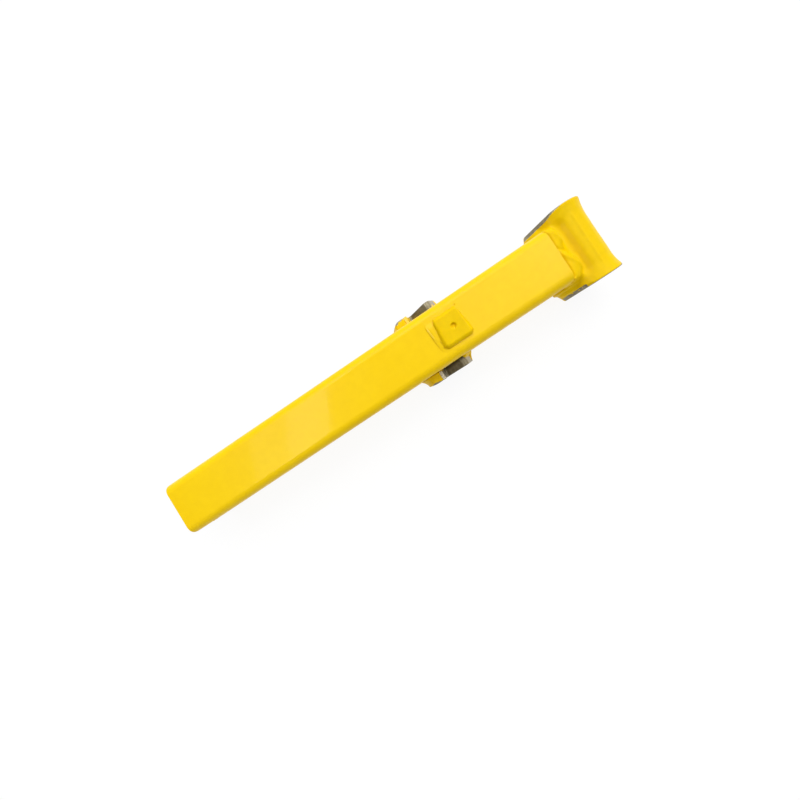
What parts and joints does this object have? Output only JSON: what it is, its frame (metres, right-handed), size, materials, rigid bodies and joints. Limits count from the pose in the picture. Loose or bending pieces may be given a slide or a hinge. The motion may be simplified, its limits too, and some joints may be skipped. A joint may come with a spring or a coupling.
{
  "type": "extending digger arm section",
  "caption": "Painted box-section inner arm with a waisted cross boss at one end, open steel-lined side saddles part-way along and a drilled pad on its front face.",
  "frame": {"origin": "middle of the base of the bounding box, with the arm lying on its back", "axes": "+X along the beam towards the head boss, +Y along the head pin, +Z out of the front face"},
  "size_m": [1.2758, 0.2, 0.17],
  "materials": {
    "paint": "thick glossy yellow enamel",
    "bare_steel": "machined, oiled",
    "bush_steel": "ground",
    "raw_plate": "mill scale",
    "zinc": "zinc plated",
    "rubber": "matt"
  },
  "bodies": {
    "arm": {"front_channel": "paint", "back_channel": "paint", "head_casting": "paint", "saddle_casting_left": "paint", "saddle_casting_right": "paint", "lock_pad": "paint", "stop_strip": "paint", "tail_ring": "raw_plate", "tail_side_diaphragm": "raw_plate", "head_side_diaphragm": "raw_plate", "saddle_cross_tube": "raw_plate", "seam_backing_tail_left": "raw_plate", "seam_backing_tail_right": "raw_plate", "seam_backing_head_left": "raw_plate", "seam_backing_head_right": "raw_plate", "saddle_liner_left": "bare_steel", "saddle_liner_right": "bare_steel", "head_bush_left": "bush_steel", "head_bush_right": "bush_steel", "head_seal_left": "rubber", "head_seal_right": "rubber", "grease_nipple": "zinc"},
    "valve": {"nipple_ball": "bush_steel"}
  },
  "joints": [
    {"name": "nipple_valve", "type": "slide", "parent": "arm", "child": "valve", "axis": [-0.5, 0, 0.866], "range_m": [0, 0.0012], "stiffness_N_per_m": 100, "springref_m": -0.0015}
  ]
}
